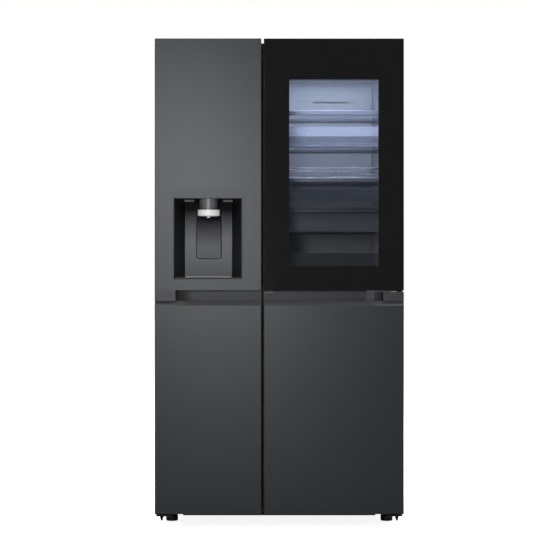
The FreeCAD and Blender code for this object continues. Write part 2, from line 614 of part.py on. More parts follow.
def drip_tray():
    middle = "(recess_left + recess_right) / 2"
    plan = ((f"{middle} - tray_front_half", -364), (f"{middle} + tray_front_half", -364),
            (f"{middle} + tray_back_half", -290), (f"{middle} - tray_back_half", -290))
    slots = [box((f"{middle} - {half}", f"{middle} + {half}"), (y, y + 4), (912, 920))
             for y, half in ((-350, 104), (-340, 101), (-330, 97), (-320, 93), (-310, 90), (-300, 86))]
    node("drip_tray", cut(prism("XY", plan, "tray_low", "tray_high"), *slots))


def ice_parts():
    bucket = tray((-386, -130), ("door_back", -172), (1262, 1560))
    outlet = box(("chute_left", "chute_right"), (-266, -258), (1268, 1322))
    node("ice_bucket", cut(bucket, outlet))
    flap = box(("chute_left + 1.5", "chute_right - 1.5"), (-344, -297), (1210, 1212))
    node("ice_flap", fuse(flap, rod("x", 2, "chute_left + 1.5", "chute_right - 1.5", -344, 1211)))


def freezer_door():
    opening = box(("bezel_left", "bezel_right"), (FRONT + " - 1", SKIN_BACK + " + 1"),
                  ("bezel_low", "bezel_high"))
    upper = cut(skin(LEFT_SKIN, ("grip_high", "overall_height"), "top_cap_high"), opening)
    node("freezer_door_skin", group(upper, skin(LEFT_SKIN, ("door_low", "grip_low"))))
    node("freezer_door_grip", grip(LEFT_SKIN, "grip_high", "-overall_width / 2 + grip_flush",
                                   "-overall_width / 2 + grip_flush + grip_ramp", "left_door_free + 1",
                                   "grip_roof"))
    low, high = end_caps(LEFT_CORE, LEFT_PIN, SKIN_BACK)
    lip = box(LEFT_CORE, (SKIN_BACK, "lip_back"), ("top_cap_high", "overall_height - 1"))
    node("freezer_door_caps", group(low, fuse(high, lip)))
    core = box(LEFT_CORE, (SKIN_BACK, "door_back"), ("door_low + cap_height", "top_cap_low"))
    dyke_x = ("freezer_left + dyke_gap", "partition_left - dyke_gap")
    dyke = ring(dyke_x, ("door_back - 1", "dyke_back"), ("dyke_low", "dyke_high"), "dyke_wall")
    bulge = box(("freezer_left + 10", "partition_left - 26"), ("door_back - 1", -225), (895, 1250))
    grip_space = box(("-overall_width / 2 - 1", "left_door_free + 1"), (FRONT, "grip_back"),
                     ("grip_low", "grip_high"))
    spare = box(("chute_left", "chute_right"), ("door_back - 2", -220), (1262, 1324))
    node("freezer_door_inner", cut(fuse(core, dyke, bulge), grip_space, spare, *housing_outside()))
    node("freezer_door_gasket", door_gasket(("-overall_width / 2 + gasket_inset_hinge",
                                             "left_door_free - gasket_inset_free")))
    bins = [shelf_bin((-386, -122), z, z + 75, "door_back", 75) for z in FREEZER_BINS]
    node("freezer_door_bins", group(*bins))
    dispenser_housing()
    dispenser_front()
    drip_tray()
    ice_parts()


# ---------------------------------------------------------------- refrigerator door

RIGHT_SKIN = ("right_door_free", "overall_width / 2")
RIGHT_CORE = ("right_door_free + steel", "overall_width / 2 - steel")


def fridge_door():
    node("fridge_door_skin", skin(RIGHT_SKIN, ("door_low", "grip_low")))
    channel = grip(RIGHT_SKIN, "grip_high_right", "overall_width / 2 - grip_flush",
                   "overall_width / 2 - grip_flush - grip_ramp", "right_door_free - 1", "-2")
    wall = box(("right_door_free", "overall_width / 2 - grip_flush - grip_ramp"),
               ("grip_recess", "inner_front - 0.3"), ("grip_high_right - 1", "wall_high"))
    pivot = fuse(rod("z", 8, "grip_high_right - 1", 866, OUTER_PIN, "outer_pin_line"),
                 rod("z", "outer_pin", "grip_high_right - 1", 880, OUTER_PIN, "outer_pin_line"))
    node("fridge_door_grip", fuse(channel, wall, pivot))
    low, high = end_caps(RIGHT_CORE, RIGHT_PIN, "inner_front")
    arm = fuse(box((f"{OUTER_PIN} - 10", f"{OUTER_PIN} + 10"), ("outer_pin_line", "inner_front + 2"),
                   ("top_cap_high - 6", "top_cap_high")),
               rod("z", 10, "top_cap_high - 6", "top_cap_high", OUTER_PIN, "outer_pin_line"),
               rod("z", "outer_pin", 1742, "top_cap_high - 5", OUTER_PIN, "outer_pin_line"))
    node("fridge_door_caps", group(low, fuse(high, arm)))
    block = box(RIGHT_CORE, (SKIN_BACK, "door_back"), ("door_low + cap_height", "grip_low"))
    band = box(RIGHT_CORE, ("grip_back", "door_back"), ("grip_low", "grip_high_right"))
    upper = box(RIGHT_CORE, ("inner_front", "door_back"), ("grip_high_right", "top_cap_low"))
    dyke = cut(box(("partition_right + 11", "fridge_right - 7"), ("door_back - 1", "dyke_back"),
                   ("dyke_low", "dyke_high")),
               box(("show_left", "show_right"), ("door_back - 2", "dyke_back + 1"),
                   ("dyke_low + dyke_wall", "show_high")))
    bar = box(("show_left - 1", "show_right + 1"), ("door_back - 1", "dyke_back"), (860, "show_low"))
    hole = box(("show_left", "show_right"), ("inner_front - 1", "dyke_back + 1"), ("show_low", "show_high"))
    node("fridge_door_inner", cut(fuse(block, band, upper, dyke, bar), hole))
    node("fridge_door_gasket", door_gasket(("right_door_free + gasket_inset_free",
                                            "overall_width / 2 - gasket_inset_hinge")))
    baskets = [shelf_bin(("show_left + 2", "show_right - 2"), z, z + 75,
                         "door_back" if z < 800 else "inner_front + 4", 26 if z > 800 else 75)
               for z in DOOR_BASKETS]
    node("fridge_door_baskets", group(*baskets))


def outer_door():
    depth = (FRONT + " + outer_glass", "outer_back")
    frame = box(RIGHT_SKIN, depth, ("outer_low", "overall_height"))
    window = box(("window_left", "window_right"), (FRONT, "outer_back + 1"), ("window_low", "window_high"))
    rebate = box(("window_left - 10", "window_right + 10"), ("outer_back - 4.5", "outer_back + 1"),
                 ("window_low - 10", "window_high + 10"))
    notch = box((f"{OUTER_PIN} - 20", "overall_width / 2 + 1"), (-356, "outer_back + 1"),
                ("top_cap_high - 8", "overall_height + 1"))
    bores = [rod("z", "outer_pin + running_gap", 860, 882, OUTER_PIN, "outer_pin_line"),
             rod("z", "outer_pin + running_gap", 1740, 1762, OUTER_PIN, "outer_pin_line")]
    key_hole = box((-45.4, -24.6), (-362.5, -353.5), ("outer_low - 1", 877))
    node("outer_door_frame", cut(frame, window, rebate, notch, key_hole, *bores))
    bar = box((-49, -21), (-366, -352), (857.5, 861))
    node("release_button", fuse(bar, box((-45, -25), (-362.1, -353.9), (860, 874))))
    face = box(RIGHT_SKIN, (FRONT, FRONT + " + outer_glass"), ("outer_low", "overall_height"))
    face = rounded(face, "1.5", lambda e, b: abs(e.CenterOfMass.y + 367.5) < 0.01)
    back = box(("window_left - 10", "window_right + 10"), ("outer_back - 4.5", "outer_back - 1.5"),
               ("window_low - 10", "window_high + 10"))
    node("outer_door_glass", group(face, back))
    node("outer_door_gasket", ring((-40, 430), ("outer_back", "inner_front - 0.4"), (880, 1740), 12))


# ---------------------------------------------------------------- build, check and save

for build in (shell_panels, front_frame, liners, cabinet_foam, base_chassis, top_cover, electronics_cover,
              hinges, feet_and_rollers, machine_room, cold_air, shelves, wine_rack, drawers, fixed_fittings,
              freezer_door, fridge_door, outer_door):
    build()
doc.recompute()

for item in doc.Objects:
    if any(word in state for state in item.State for word in ("Invalid", "Error")):
        raise RuntimeError(f"{item.Name} ({item.Label}) did not recompute: {item.State}")
os.makedirs("parts", exist_ok=True)
for item in nodes:
    if item.Shape.isNull() or not item.Shape.isValid():
        raise RuntimeError(f"{item.Label} has no valid shape")
    item.Shape.exportStep(f"parts/{item.Label}.step")
print(len(nodes), "nodes")
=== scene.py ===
"""Looks for the side by side refrigerator: materials on the CAD nodes, small pieces, light and camera."""

import math

import bmesh
import bpy
from mathutils import Matrix, Vector


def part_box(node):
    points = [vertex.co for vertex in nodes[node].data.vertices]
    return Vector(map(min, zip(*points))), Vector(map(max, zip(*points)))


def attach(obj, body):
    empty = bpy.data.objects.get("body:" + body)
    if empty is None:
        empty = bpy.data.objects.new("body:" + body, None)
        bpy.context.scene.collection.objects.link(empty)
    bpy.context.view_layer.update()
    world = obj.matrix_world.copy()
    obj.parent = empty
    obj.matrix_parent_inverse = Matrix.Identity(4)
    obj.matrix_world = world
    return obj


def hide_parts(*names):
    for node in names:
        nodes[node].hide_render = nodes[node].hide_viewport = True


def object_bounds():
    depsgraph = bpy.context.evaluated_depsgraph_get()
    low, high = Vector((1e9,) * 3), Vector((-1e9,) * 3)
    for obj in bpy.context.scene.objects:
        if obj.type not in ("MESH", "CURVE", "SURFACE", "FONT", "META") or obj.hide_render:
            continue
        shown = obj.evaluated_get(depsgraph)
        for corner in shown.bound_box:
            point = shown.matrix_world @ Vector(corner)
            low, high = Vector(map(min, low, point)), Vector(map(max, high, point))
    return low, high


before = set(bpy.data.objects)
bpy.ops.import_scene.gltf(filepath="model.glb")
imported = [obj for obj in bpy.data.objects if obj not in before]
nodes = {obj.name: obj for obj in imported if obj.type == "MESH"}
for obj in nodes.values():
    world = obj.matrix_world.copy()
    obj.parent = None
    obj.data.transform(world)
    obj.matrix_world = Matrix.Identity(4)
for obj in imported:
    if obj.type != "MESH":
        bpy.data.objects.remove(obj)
cad_low, cad_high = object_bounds()


# ---------------------------------------------------------------- places on the object, in metres

MM = 0.001
FACE = cad_low.y                          # front face of the doors
WINDOW_X = (0.0366, 0.3639)               # clear part of the outer door's glass
WINDOW_Z = (0.956, 1.6397)
panel_low, panel_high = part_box("dispenser_back_panel")
pad_low, pad_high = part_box("dispenser_pad")
STRIP_LOW = panel_high.z + 1.7 * MM       # lower edge of the touch strip above the dispenser's recess
LIP_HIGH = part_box("fridge_door_skin")[1].z + 18.6 * MM      # top of the sloping lip under the grips
RAMP_X = (0.337, 0.3805)                  # sloping end of a grip channel, painted paler as painted light, measured out from the middle
LIP_ENDS_X = (0.33, 0.39)                 # where the lip's painted light grows paler towards its ends, measured the same way


# ---------------------------------------------------------------- node graph helpers

NOISE_LOW, NOISE_HIGH = 0.3, 0.7          # most of a noise texture's values lie between these


class Graph:
    """A short way to write a material's node graph. Places are in object coordinates, in metres. They follow
    the body, and match the shared frame at rest."""

    def __init__(self, name):
        self.material = bpy.data.materials.new(name)
        self.material.use_nodes = True
        self.tree = self.material.node_tree
        self.shader = self.tree.nodes["Principled BSDF"]
        self.place = self.add("ShaderNodeTexCoord").outputs["Object"]

    def add(self, kind, **settings):
        node = self.tree.nodes.new(kind)
        for key, value in settings.items():
            setattr(node, key, value)
        return node

    def link(self, source, target):
        self.tree.links.new(source, target)

    def put(self, socket, value):
        """Sets a socket to a number or colour, or links it if the value is another node's output."""
        if isinstance(value, bpy.types.NodeSocket):
            self.link(value, socket)
        else:
            socket.default_value = value

    def stretched(self, scale):
        node = self.add("ShaderNodeMapping")
        node.inputs["Scale"].default_value = scale
        self.link(self.place, node.inputs["Vector"])
        return node.outputs["Vector"]

    def noise(self, scale, detail=3.0, rough=0.55, stretch=None):
        node = self.add("ShaderNodeTexNoise")
        node.inputs["Scale"].default_value = scale
        node.inputs["Detail"].default_value = detail
        node.inputs["Roughness"].default_value = rough
        self.link(self.stretched(stretch) if stretch else self.place, node.inputs["Vector"])
        return node.outputs["Fac"]

    def remap(self, value, low, high, start=NOISE_LOW, end=NOISE_HIGH):
        node = self.add("ShaderNodeMapRange")
        limits = {"From Min": start, "From Max": end, "To Min": low, "To Max": high}
        for key, number in limits.items():
            node.inputs[key].default_value = number
        self.link(value, node.inputs["Value"])
        return node.outputs["Result"]

    def math(self, operation, first, second=0.0):
        node = self.add("ShaderNodeMath", operation=operation)
        self.put(node.inputs[0], first)
        self.put(node.inputs[1], second)
        return node.outputs[0]

    def mix(self, factor, first, second):
        node = self.add("ShaderNodeMix", data_type="RGBA")
        self.put(node.inputs["Factor"], factor)
        self.put(node.inputs["A"], first)
        self.put(node.inputs["B"], second)
        return node.outputs["Result"]

    def axes(self):
        node = self.add("ShaderNodeSeparateXYZ")
        self.link(self.place, node.inputs["Vector"])
        return node.outputs

    def inside(self, axis, low, high):
        """1 where a coordinate lies between two values, 0 elsewhere."""
        above, below = self.math("GREATER_THAN", axis, low), self.math("LESS_THAN", axis, high)
        return self.math("MULTIPLY", above, below)

    def bump(self, height, strength, distance=0.0004):
        node = self.add("ShaderNodeBump")
        node.inputs["Strength"].default_value = strength
        node.inputs["Distance"].default_value = distance
        self.link(height, node.inputs["Height"])
        self.link(node.outputs["Normal"], self.shader.inputs["Normal"])

    def set(self, **values):
        """Sets shader sockets by name, with _ for a space."""
        for key, value in values.items():
            self.put(self.shader.inputs[key.replace("_", " ")], value)
        return self


def shade(color, factor):
    return tuple(min(1.0, c * factor) for c in color[:3]) + (1.0,)


def finish_of(name, color, roughness, metallic=0.0, vary=0.06, grain=900.0, bump=0.05, spread=0.05,
              stretch=None, **sockets):
    """A surface whose colour, roughness and relief all carry a fine grain."""
    g = Graph(name)
    cloudy = g.noise(3.0, 4.0)
    fine = g.noise(grain, 3.0, 0.6, stretch)
    g.set(Base_Color=g.mix(g.remap(cloudy, 0.0, 1.0), shade(color, 1 - vary), shade(color, 1 + vary)),
          Roughness=g.remap(fine, roughness - spread, roughness + spread), Metallic=metallic, **sockets)
    g.bump(fine, bump)
    return g


# ---------------------------------------------------------------- materials

GRAPHITE = (0.040, 0.0415, 0.0445)
BLACK = (0.0085, 0.0088, 0.0095)


def graphite_steel():
    """Matt dark coated steel: a faint vertical brushing under a fine satin coat."""
    g = Graph("graphite_steel")
    cloudy = g.noise(2.2, 3.0)
    brushed = g.noise(60.0, 4.0, 0.65, stretch=(90.0, 90.0, 1.0))
    grit = g.noise(2600.0, 2.0)
    tone = g.mix(g.remap(cloudy, 0.0, 1.0), shade(GRAPHITE, 0.97), shade(GRAPHITE, 1.03))
    tone = g.mix(g.remap(brushed, 0.0, 0.16), tone, shade(GRAPHITE, 1.25))
    g.set(Base_Color=tone, Metallic=0.75, Roughness=g.remap(grit, 0.29, 0.38))
    g.bump(grit, 0.05, 0.0002)
    return g.material


def door_glass():
    """Black printed glass with a clear tinted window in the middle. The inner pane is clear all over."""
    front_pane_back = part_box("outer_door_frame")[0].y + 0.5 * MM
    g = Graph("door_glass")
    x, y, z = g.axes()
    window = g.math("MULTIPLY", g.inside(x, *WINDOW_X), g.inside(z, *WINDOW_Z))
    clear = g.math("MAXIMUM", window, g.math("GREATER_THAN", y, front_pane_back))
    smudge = g.noise(7.0, 3.0)
    g.set(Base_Color=g.mix(clear, (0.0045, 0.0047, 0.005, 1.0), (0.010, 0.011, 0.016, 1.0)),
          Roughness=g.remap(smudge, 0.03, 0.07), Alpha=g.remap(clear, 1.0, 0.14, 0.0, 1.0), IOR=1.5)
    return g.material


def clear_plastic(name, color, alpha, roughness):
    """Tinted see-through plastic with faint flow marks and a fine frost."""
    g = Graph(name)
    flow = g.noise(14.0, 3.0)
    frost = g.noise(1800.0, 2.0)
    g.set(Base_Color=g.mix(g.remap(flow, 0.0, 1.0), shade(color, 0.95), shade(color, 1.03)), Alpha=alpha,
          Roughness=g.remap(frost, roughness - 0.03, roughness + 0.03), IOR=1.49)
    return g.material


def shelf_pane():
    """Clear glass whose edge faces look green."""
    g = Graph("shelf_pane")
    geometry = g.add("ShaderNodeNewGeometry")
    split = g.add("ShaderNodeSeparateXYZ")
    g.link(geometry.outputs["Normal"], split.inputs["Vector"])
    edge = g.math("LESS_THAN", g.math("ABSOLUTE", split.outputs["Z"]), 0.5)
    g.set(Base_Color=g.mix(edge, (0.72, 0.80, 0.84, 1.0), (0.32, 0.56, 0.50, 1.0)),
          Alpha=g.remap(edge, 0.22, 0.85, 0.0, 1.0), Roughness=g.remap(g.noise(9.0), 0.02, 0.06), IOR=1.5)
    return g.material


def dispenser_moulding():
    """Dark satin plastic, a little paler low down, that fades to the door's tone at the rounded front edges.
    The darkening up towards the roof of the recess and away from its front edges is painted shade.
    The strip above the recess is a touch panel in the door's own colour."""
    g = Graph("dispenser_moulding")
    x, y, z = g.axes()
    strip = g.math("MULTIPLY", g.math("GREATER_THAN", z, STRIP_LOW), g.math("LESS_THAN", y, FACE + 2 * MM))
    edge = g.remap(y, 1.0, 0.0, FACE + 0.5 * MM, FACE + 21.5 * MM)
    height = g.remap(z, 0.0, 1.0, panel_low.z + 5 * MM, panel_high.z - 14.5 * MM)
    fine = g.noise(1500.0, 2.0)
    # painted shade: darker towards the roof of the recess and further in from its front edges
    deep = g.mix(height, (0.021, 0.0225, 0.027, 1.0), (0.008, 0.0085, 0.0105, 1.0))
    wall_with_painted_shade = g.mix(edge, deep, (0.030, 0.031, 0.034, 1.0))
    g.set(Base_Color=g.mix(strip, wall_with_painted_shade, shade(GRAPHITE, 0.93)), Metallic=g.remap(strip, 0.0, 0.75, 0.0, 1.0),
          Roughness=g.remap(g.math("SUBTRACT", fine, g.math("MULTIPLY", strip, 0.1)), 0.30, 0.44))
    g.bump(fine, 0.04, 0.0002)
    return g.material


def panel_with_painted_shade(name, color, roughness, painted_shadow_z, sheen=0.5):
    """Satin panel at the back of the dispenser. It goes dark, with weak reflection, over a band of heights
    behind
    the nozzle: a painted shadow of the nozzle and the roof of the recess. It is a little darker near the
    tray. The groove under the push pad has a pale lower edge, a painted highlight."""
    groove = 3.8 * MM
    g = Graph(name)
    x, y, z = g.axes()
    fine = g.noise(1700.0, 3.0)
    high = g.remap(z, 0.0, 1.0, *painted_shadow_z)
    near_tray = g.remap(z, 0.0, 1.0, panel_low.z + 20 * MM, panel_low.z + 95 * MM)
    base = g.mix(near_tray, shade(color, 0.70), shade(color, 1.0))
    # painted highlight on the lower edge of the groove under the push pad
    under = g.math("MULTIPLY", g.inside(x, pad_low.x, pad_high.x), g.inside(z, pad_low.z - groove, pad_low.z))
    base = g.mix(under, base, (0.26, 0.265, 0.28, 1.0))
    # painted shadow behind the nozzle: dark colour and weak reflection over a band of heights
    g.set(Base_Color=g.mix(high, base, (0.004, 0.0042, 0.005, 1.0)), Metallic=0.3,
          Specular_IOR_Level=g.remap(high, sheen, 0.04, 0.0, 1.0),
          Roughness=g.remap(fine, roughness - 0.05, roughness + 0.05))
    g.bump(fine, 0.05, 0.0002)
    return g.material


def grip_paint():
    """Satin paint of the grip channels. The sloping lip under them is paler, most of all at its ends. So are
    the flush end and the ramp beside it. The paler lip, its paler ends and the paler ramp are painted light."""
    g = Graph("grip_paint")
    x, y, z = g.axes()
    grit = g.noise(1500.0, 2.0)
    side = g.math("ABSOLUTE", x)
    lip = g.math("LESS_THAN", z, LIP_HIGH)
    flush = g.math("MULTIPLY", g.math("LESS_THAN", y, FACE + 0.5 * MM), g.math("GREATER_THAN", z, LIP_HIGH))
    # painted light: the ramp at the channel's end is paler
    channel = g.mix(g.inside(side, *RAMP_X), (0.036, 0.037, 0.040, 1.0), (0.070, 0.071, 0.075, 1.0))
    # painted light: the lip is paler and less metallic, most of all at its ends
    ends = g.remap(side, 0.0, 1.0, *LIP_ENDS_X)
    under = g.mix(ends, (0.058, 0.059, 0.063, 1.0), (0.115, 0.117, 0.124, 1.0))
    tone = g.mix(lip, g.mix(flush, channel, (0.054, 0.053, 0.060, 1.0)), under)
    g.set(Base_Color=tone, Metallic=g.remap(lip, 0.66, 0.30, 0.0, 1.0), Roughness=g.remap(grit, 0.36, 0.44))
    g.bump(grit, 0.05, 0.0002)
    return g.material


def door_inner():
    """Pale liner plastic with a soft moulded grain. The door's edges, outside the seals, are painted dark."""
    tuck = 0.5 * MM
    left_low, left_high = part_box("freezer_door_gasket")
    right_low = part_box("fridge_door_gasket")[0]
    g = Graph("door_inner")
    x, y, z = g.axes()
    hinge_side = g.math("GREATER_THAN", g.math("ABSOLUTE", x), abs(left_low.x) - tuck)
    free_side = g.inside(x, left_high.x - tuck, right_low.x + tuck)
    ends = g.math("SUBTRACT", 1.0, g.inside(z, left_low.z + tuck, left_high.z - tuck))
    edge = g.math("MAXIMUM", hinge_side, g.math("MAXIMUM", free_side, ends))
    cloudy, fine = g.noise(3.0, 4.0), g.noise(650.0, 3.0)
    pale = g.mix(g.remap(cloudy, 0.0, 1.0), (0.63, 0.65, 0.68, 1.0), (0.68, 0.70, 0.73, 1.0))
    g.set(Base_Color=g.mix(edge, pale, (0.022, 0.023, 0.025, 1.0)), Roughness=g.remap(fine, 0.30, 0.40))
    g.bump(fine, 0.06)
    return g.material


def button_paint():
    """Pale metal on the lower edge, where the finger presses, and dark above, where it meets the frame."""
    pale_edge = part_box("release_button")[0].z + 1.7 * MM
    g = Graph("button_paint")
    above = g.math("GREATER_THAN", g.axes()[2], pale_edge)
    fine = g.noise(900.0, 3.0)
    g.set(Base_Color=g.mix(above, (0.24, 0.245, 0.26, 1.0), (0.012, 0.0125, 0.0135, 1.0)),
          Metallic=g.remap(above, 0.4, 0.0, 0.0, 1.0), Roughness=g.remap(fine, 0.36, 0.48))
    g.bump(fine, 0.04)
    return g.material


def nozzle():
    """Grey turned plastic, with a white spout below the top of the collar."""
    spout_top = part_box("dispenser_ring")[1].z - 0.5 * MM
    g = Graph("nozzle")
    spout = g.math("LESS_THAN", g.axes()[2], spout_top)
    rings = g.noise(50.0, 3.0, 0.6, stretch=(1.0, 1.0, 60.0))
    grey = g.mix(g.remap(rings, 0.0, 1.0), (0.20, 0.205, 0.215, 1.0), (0.30, 0.305, 0.32, 1.0))
    g.set(Base_Color=g.mix(spout, grey, (0.85, 0.86, 0.88, 1.0)),
          Metallic=g.remap(spout, 0.45, 0.0, 0.0, 1.0), Roughness=g.remap(rings, 0.36, 0.46))
    g.bump(rings, 0.04, 0.0002)
    return g.material


def zinc(name, color, roughness=0.38, black_before=None):
    """Galvanised sheet: large pale crystals and a faint rolling direction. Whatever lies further forward than
    black_before is painted black."""
    g = Graph(name)
    crystal = g.add("ShaderNodeTexVoronoi", feature="SMOOTH_F1")
    crystal.inputs["Scale"].default_value = 85.0
    g.link(g.place, crystal.inputs["Vector"])
    tone = g.remap(crystal.outputs["Distance"], 0.0, 1.0, 0.0, 0.7)
    rolled = g.noise(40.0, 3.0, 0.6, stretch=(1.0, 1.0, 30.0))
    base = g.mix(tone, shade(color, 0.86), shade(color, 1.08))
    tint = g.mix(g.remap(rolled, 0.0, 0.3), base, shade(color, 1.15))
    if black_before is not None:
        tint = g.mix(g.math("LESS_THAN", g.axes()[1], black_before), tint, (0.012, 0.012, 0.013, 1.0))
    g.set(Base_Color=tint, Metallic=0.85,
          Roughness=g.remap(tone, roughness - 0.06, roughness + 0.10, 0.0, 1.0))
    g.bump(rolled, 0.03, 0.0003)
    return g.material


def glow(name, color, strength):
    """A lit lamp cover."""
    g = Graph(name)
    cells = g.noise(220.0, 2.0)
    g.set(Base_Color=(0.9, 0.93, 1.0, 1.0), Roughness=g.remap(cells, 0.25, 0.4), Emission_Strength=strength,
          Emission_Color=color)
    return g.material


graphite = graphite_steel()
case_paint = finish_of("case_paint", (0.060, 0.062, 0.067), 0.42, 0.25, grain=700.0, bump=0.10).material
black_plastic = finish_of("black_plastic", BLACK, 0.46, grain=1100.0, bump=0.14).material
frame_plastic = finish_of("frame_plastic", (0.012, 0.0125, 0.0135), 0.34, grain=1300.0, bump=0.06).material
white_plastic = finish_of("white_plastic", (0.74, 0.77, 0.80), 0.28, grain=650.0, bump=0.06, vary=0.02,
                          spread=0.04, IOR=1.5).material
foam = finish_of("foam", (0.72, 0.60, 0.36), 0.85, grain=240.0, bump=0.5, vary=0.1).material
rubber = finish_of("rubber", (0.055, 0.057, 0.060), 0.62, grain=1600.0, bump=0.10).material
# pale metal for the bar that is a painted highlight on the back panel's lower edge
painted_highlight_metal = finish_of("painted_highlight_metal", (0.46, 0.465, 0.48), 0.34, 0.4, grain=1700.0, bump=0.05).material
# a little paler than the door: the rim that is a painted highlight round the dispenser's recess
rim_painted_highlight = finish_of("rim_painted_highlight", (0.052, 0.0535, 0.057), 0.36, 0.7, grain=1700.0, bump=0.05).material
lens = finish_of("lens", (0.24, 0.245, 0.26), 0.40, grain=900.0, bump=0.06).material
# the dispenser's ring glows faintly though it is no lamp: painted light that keeps it a bright white band
ring_with_painted_glow = finish_of("ring_with_painted_glow", (0.94, 0.945, 0.96), 0.55, 0.30, grain=60.0, bump=0.03, spread=0.04,
                       vary=0.02, stretch=(1.0, 1.0, 40.0), Emission_Color=(1.0, 1.0, 1.0, 1.0),
                       Emission_Strength=0.24).material
pale_metal = finish_of("pale_metal", (0.42, 0.425, 0.44), 0.40, 0.4, grain=60.0, bump=0.04, spread=0.05,
                       stretch=(1.0, 60.0, 60.0)).material
chrome = finish_of("chrome", (0.80, 0.81, 0.83), 0.10, 1.0, grain=300.0, bump=0.01, spread=0.03,
                   vary=0.02).material
trim_metal = finish_of("trim_metal", (0.20, 0.22, 0.26), 0.34, 0.7, grain=55.0, bump=0.03, spread=0.05,
                       stretch=(1.0, 60.0, 60.0)).material
aluminium = finish_of("aluminium", (0.55, 0.56, 0.58), 0.34, 1.0, grain=500.0, bump=0.08).material
dark_zinc = zinc("dark_zinc", (0.24, 0.245, 0.255))
base_zinc = zinc("base_zinc", (0.46, 0.47, 0.48), black_before=-0.16)
zinc_sheet = zinc("zinc_sheet", (0.48, 0.49, 0.50))
iron = finish_of("iron", (0.014, 0.014, 0.015), 0.40, 0.2, grain=420.0, bump=0.22).material
roller_plastic = finish_of("roller_plastic", (0.55, 0.55, 0.53), 0.45, grain=700.0, bump=0.1).material
tray_plastic = clear_plastic("tray_plastic", (0.62, 0.70, 0.78), 0.46, 0.26)
basket_plastic = clear_plastic("basket_plastic", (0.60, 0.66, 0.74), 0.30, 0.10)
ice_plastic = clear_plastic("ice_plastic", (0.55, 0.62, 0.70), 0.42, 0.18)
# both panels carry a painted shadow behind the nozzle
back_grey = panel_with_painted_shade("back_panel", (0.105, 0.108, 0.115), roughness=0.41, painted_shadow_z=(1.06, 1.165))
pad_grey = panel_with_painted_shade("pad_grey", (0.074, 0.076, 0.082), roughness=0.38, painted_shadow_z=(1.03, 1.13), sheen=0.37)
lamp_glow = glow("lamp_glow", (0.86, 0.90, 1.0, 1.0), 6.0)

DRESS = {
    graphite: ("freezer_door_skin", "fridge_door_skin"),
    grip_paint(): ("freezer_door_grip", "fridge_door_grip"),
    case_paint: ("side_panel_left", "side_panel_right", "top_panel", "front_frame"),
    zinc_sheet: ("rear_panel", "compressor_cover"),
    base_zinc: ("base_chassis",),
    dark_zinc: ("upper_hinges",),
    black_plastic: ("lower_hinges", "top_cover", "electronics_cover", "levelling_foot_left",
                    "levelling_foot_right", "condenser_fan", "evaporating_pan", "evaporator_fan",
                    "freezer_door_caps", "fridge_door_caps", "drip_tray", "ice_flap"),
    frame_plastic: ("outer_door_frame",),
    door_glass(): ("outer_door_glass",),
    white_plastic: ("freezer_liner", "fridge_liner", "freezer_duct", "fridge_duct", "ice_maker"),
    door_inner(): ("freezer_door_inner", "fridge_door_inner"),
    foam: ("cabinet_foam",),
    dispenser_moulding(): ("dispenser_housing",),
    back_grey: ("dispenser_back_panel",),
    pad_grey: ("dispenser_pad",),
    nozzle(): ("dispenser_nozzle",),
    ring_with_painted_glow: ("dispenser_ring",),
    chrome: ("wine_rack",),
    button_paint(): ("release_button",),
    trim_metal: ("shelf_trims",),
    aluminium: ("condenser", "evaporator"),
    iron: ("compressor",),
    roller_plastic: ("rear_roller_left", "rear_roller_right"),
    tray_plastic: ("freezer_drawer_upper", "freezer_drawer_lower", "crisper_drawer_upper",
                   "crisper_drawer_lower", "chiller_drawer"),
    basket_plastic: ("fridge_door_baskets", "freezer_door_bins"),
    ice_plastic: ("ice_bucket",),
    shelf_pane(): ("shelf_glass",),
    lamp_glow: ("interior_lamps",),
}
for material, names in DRESS.items():
    for name in names:
        nodes[name].data.materials.clear()
        nodes[name].data.materials.append(material)


# ---------------------------------------------------------------- new pieces

def box_mm(name):
    """A node's box in millimetres."""
    low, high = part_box(name)
    return low / MM, high / MM


def piece(name, build, body, material):
    """A new object built by build(bm), which rides on a body."""
    bm = bmesh.new()
    build(bm)
    mesh = bpy.data.meshes.new(name)
    bm.to_mesh(mesh)
    bm.free()
    item = bpy.data.objects.new(name, mesh)
    bpy.context.scene.collection.objects.link(item)
    mesh.materials.append(material)
    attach(item, body)
    return item


def block(bm, x, y, z, bevel=0.6):
    """A box with rounded edges, between limits in millimetres."""
    low, high = (Vector(ends) * MM for ends in zip(x, y, z))
    verts = bmesh.ops.create_cube(bm, size=1.0)["verts"]
    for v in verts:
        v.co = (low + high) / 2 + v.co * (high - low)
    edges = list({e for v in verts for e in v.link_edges})
    bmesh.ops.bevel(bm, geom=edges, offset=bevel * MM, segments=3, profile=0.5, affect="EDGES")


def turned(bm, profile, place, axis, segments=20):
    """A turned shape: profile is (radius, height) pairs in millimetres along an axis from a place."""
    turn = Vector((0, 0, 1)).rotation_difference(Vector(axis)).to_matrix().to_4x4()
    move = Matrix.Translation(Vector(place) * MM) @ turn
    angles = [2 * math.pi * i / segments for i in range(segments)]
    rings = []
    for radius, height in profile:
        points = [Vector((radius * math.cos(a), radius * math.sin(a), height)) for a in angles]
        rings.append([bm.verts.new(move @ (point * MM)) for point in points])
    for lower, upper in zip(rings, rings[1:]):
        for i in range(segments):
            j = (i + 1) % segments
            bm.faces.new((lower[i], lower[j], upper[j], upper[i])).smooth = True
    bm.faces.new(rings[-1])
    bm.faces.new(rings[0][::-1])


def screws(name, places, axis, radius=4.0):
    """Pan head screws with a socket in the middle of each head."""
    r = radius
    shape = ((r, 0), (r, 0.35 * r), (0.85 * r, 0.55 * r), (0.55 * r, 0.62 * r), (0.42 * r, 0.62 * r),
             (0.36 * r, 0.25 * r), (0.1, 0.2 * r))

    def build(bm):
        for place in places:
            turned(bm, shape, place, axis)
    piece(name, build, "cabinet", dark_zinc)


